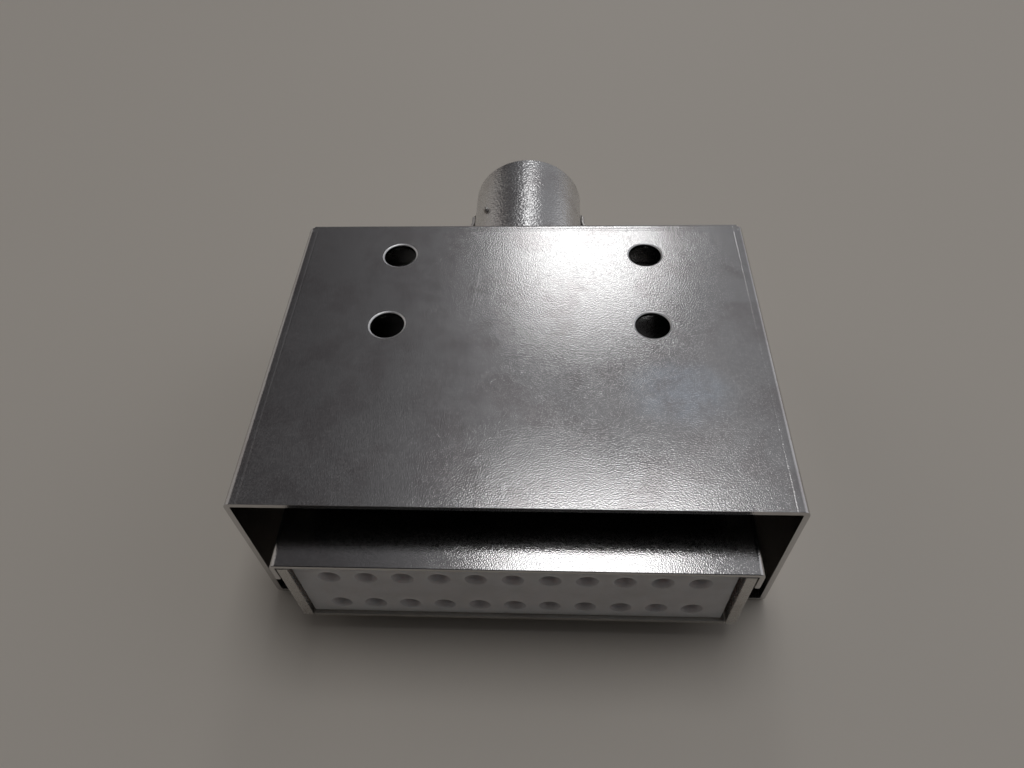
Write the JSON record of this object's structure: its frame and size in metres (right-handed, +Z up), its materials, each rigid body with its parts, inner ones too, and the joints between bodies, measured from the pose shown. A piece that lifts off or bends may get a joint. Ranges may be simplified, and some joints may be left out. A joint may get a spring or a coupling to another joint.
{
  "type": "ceramic port gas burner",
  "caption": "Slot burner: a perforated ceramic block in a flat sheet-metal box, under a folded metal hood, with a round gas inlet at the back.",
  "frame": {"origin": "centre of the bounding box, on the plane that the hood's two inward lips rest on", "axes": "+Z up, ports face -Y, gas inlet points to +Y, +X to the right seen from the ports"},
  "size_m": [0.1524, 0.172, 0.0545],
  "materials": {
    "hood_sheet": "satin nickel plate with fine orange-peel grain",
    "cover_sheet": "satin nickel plate",
    "cheek_steel": "satin nickel plate",
    "box_sheet": "dull nickel plate",
    "ceramic": "matte white ceramic",
    "gasket": "matte dark fibre",
    "inlet_steel": "coarse-grained nickel plate",
    "weld": "plated weld bead",
    "strap_sheet": "satin nickel plate",
    "fastener": "satin nickel plate"
  },
  "bodies": {
    "root": {"hood": "hood_sheet", "cover": "cover_sheet", "cheek_left": "cheek_steel", "cheek_right": "cheek_steel", "bottom_plate": "box_sheet", "plenum_roof": "box_sheet", "back_plate": "cheek_steel", "ceramic_block": "ceramic", "block_gasket": "gasket", "block_frame": "box_sheet", "diffuser": "box_sheet", "inlet_coupling": "inlet_steel", "inlet_weld": "weld", "strap_left": "strap_sheet", "strap_right": "strap_sheet", "strap_weld_left": "weld", "strap_weld_right": "weld", "inlet_tack": "weld", "strap_rivet_1": "fastener", "strap_rivet_2": "fastener", "strap_rivet_3": "fastener", "strap_rivet_4": "fastener", "cover_screw_1": "fastener", "cover_screw_2": "fastener", "cover_screw_3": "fastener", "cover_screw_4": "fastener", "block_screw_left": "fastener", "block_screw_right": "fastener", "side_clip_1": "box_sheet", "side_clip_2": "box_sheet", "side_clip_3": "box_sheet", "side_clip_4": "box_sheet"}
  },
  "joints": []
}
